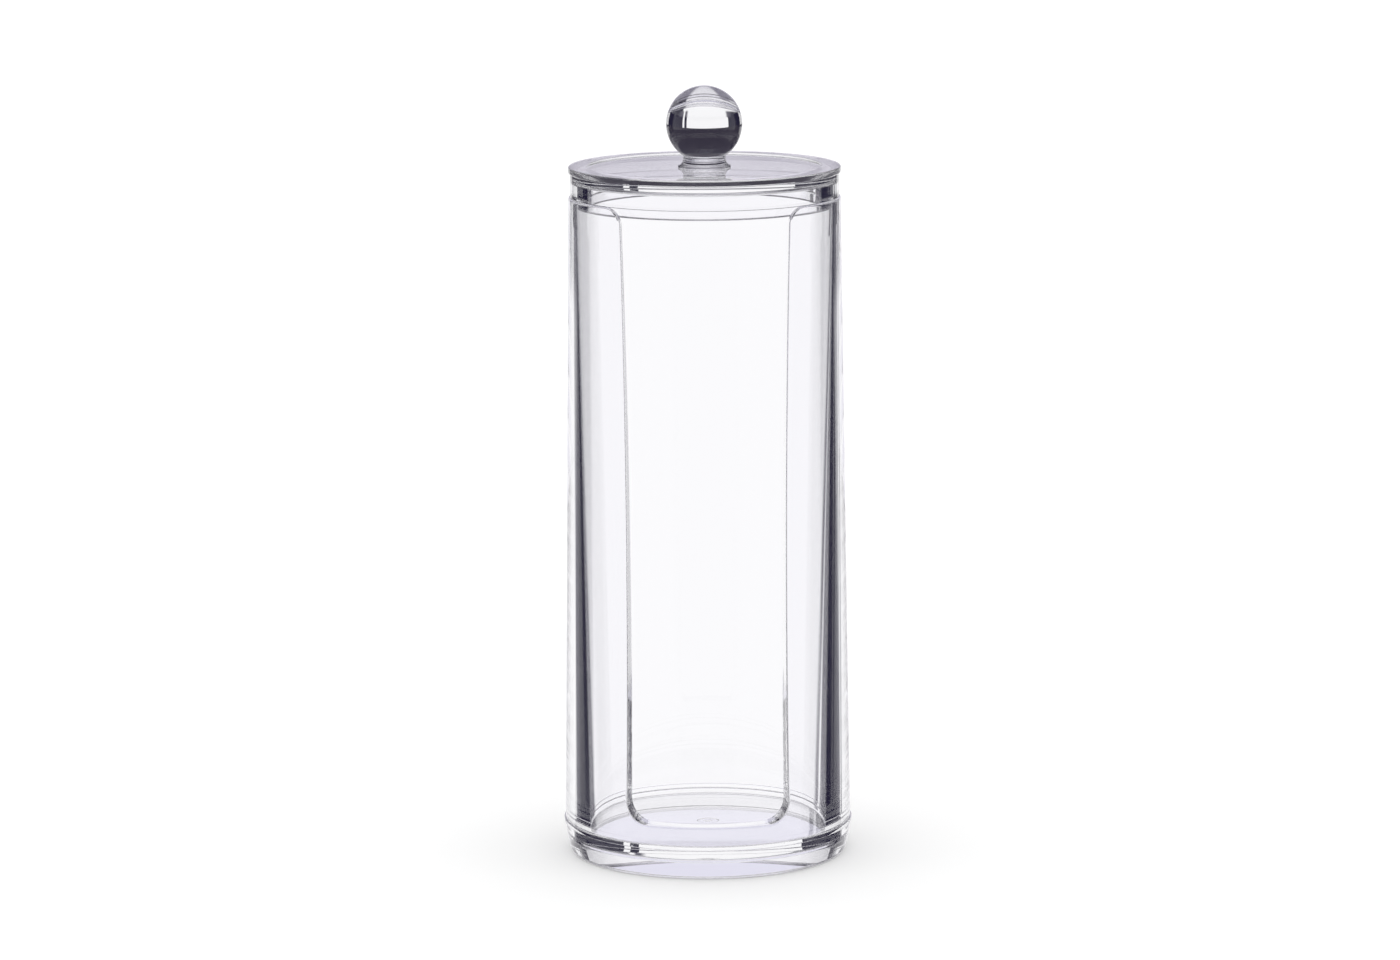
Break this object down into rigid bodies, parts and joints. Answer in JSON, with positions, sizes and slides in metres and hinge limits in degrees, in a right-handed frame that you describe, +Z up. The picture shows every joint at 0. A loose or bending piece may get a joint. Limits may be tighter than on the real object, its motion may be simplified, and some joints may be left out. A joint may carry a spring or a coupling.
{
  "type": "cotton pad holder",
  "caption": "Clear round canister with a tall open slot down its front for taking out cotton pads, and a loose lid with a ball knob.",
  "frame": {"origin": "centre of the foot ring on the table", "axes": "+Z up along the axis of the canister; the slot faces -Y; +X to the right of a person who looks at the slot"},
  "size_m": [0.075, 0.075, 0.2],
  "materials": {
    "container_plastic": "clear, polished as moulded",
    "lid_plastic": "clear, polished as moulded",
    "knob_plastic": "clear, polished as moulded"
  },
  "bodies": {
    "container": {"container": "container_plastic"},
    "lid": {"lid": "lid_plastic", "knob": "knob_plastic"}
  },
  "joints": [
    {"name": "lid_lift", "type": "slide", "parent": "container", "child": "lid", "axis": [0, 0, 1], "range_m": [0, 0.02]}
  ]
}
